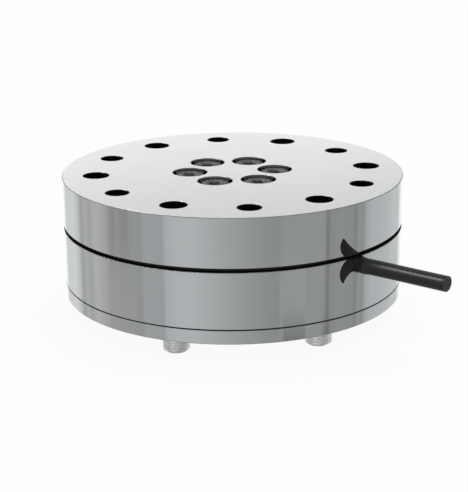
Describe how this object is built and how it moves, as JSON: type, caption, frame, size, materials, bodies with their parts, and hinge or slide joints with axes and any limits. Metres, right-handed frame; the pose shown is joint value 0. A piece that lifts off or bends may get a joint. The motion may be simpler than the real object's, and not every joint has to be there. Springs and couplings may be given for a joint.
{
  "type": "force torque sensor",
  "caption": "Round steel force torque sensor for a robot wrist: a stacked housing with a thin measuring gap, captive mounting screws and a cable at its side.",
  "frame": {"origin": "centre of the robot-side bolt circle, on the mounting face of the base plate", "axes": "+Z along the sensor's axis towards the tool face; +X through one of the mounting screws"},
  "size_m": [0.1583, 0.1737, 0.0653],
  "materials": {
    "flange_steel": "face satin ground, side fine turned and polished",
    "body_steel": "fine turned and polished",
    "spring_steel": "machined",
    "gauge_foil": "clear amber film over foil",
    "screw_steel": "plain stainless",
    "hub_steel": "dark grey phosphated steel, knurl worn bright",
    "dark_steel": "black oxide",
    "zinc_plate": "bright zinc plate",
    "seal_rubber": "matt",
    "boot_rubber": "matt moulded",
    "cable_sheath": "smooth polyurethane sheath",
    "clamp_metal": "milled",
    "wire_sleeve": "thin insulation",
    "board_laminate": "solder mask",
    "standoff_brass": "turned",
    "chip_plastic": "moulded",
    "connector_plastic": "moulded"
  },
  "bodies": {
    "root": {"upper_flange": "flange_steel", "lower_body": "body_steel", "base_plate": "body_steel", "spring_element": "spring_steel", "strain_gauges": "gauge_foil", "hub_screws": "hub_steel", "rim_screws": "dark_steel", "mounting_screws": "zinc_plate", "lock_washers": "zinc_plate", "plate_screws": "screw_steel", "dowels": "screw_steel", "stop_pins": "screw_steel", "gap_seal": "seal_rubber", "base_seal": "seal_rubber", "cable_boot": "boot_rubber", "chafe_guard": "boot_rubber", "cable": "cable_sheath", "cable_tail": "cable_sheath", "cable_clamp": "clamp_metal", "clamp_screws": "dark_steel", "signal_wires": "wire_sleeve", "circuit_board": "board_laminate", "board_standoffs": "standoff_brass", "board_screws": "screw_steel", "board_chips": "chip_plastic", "board_connector": "connector_plastic"}
  },
  "joints": []
}
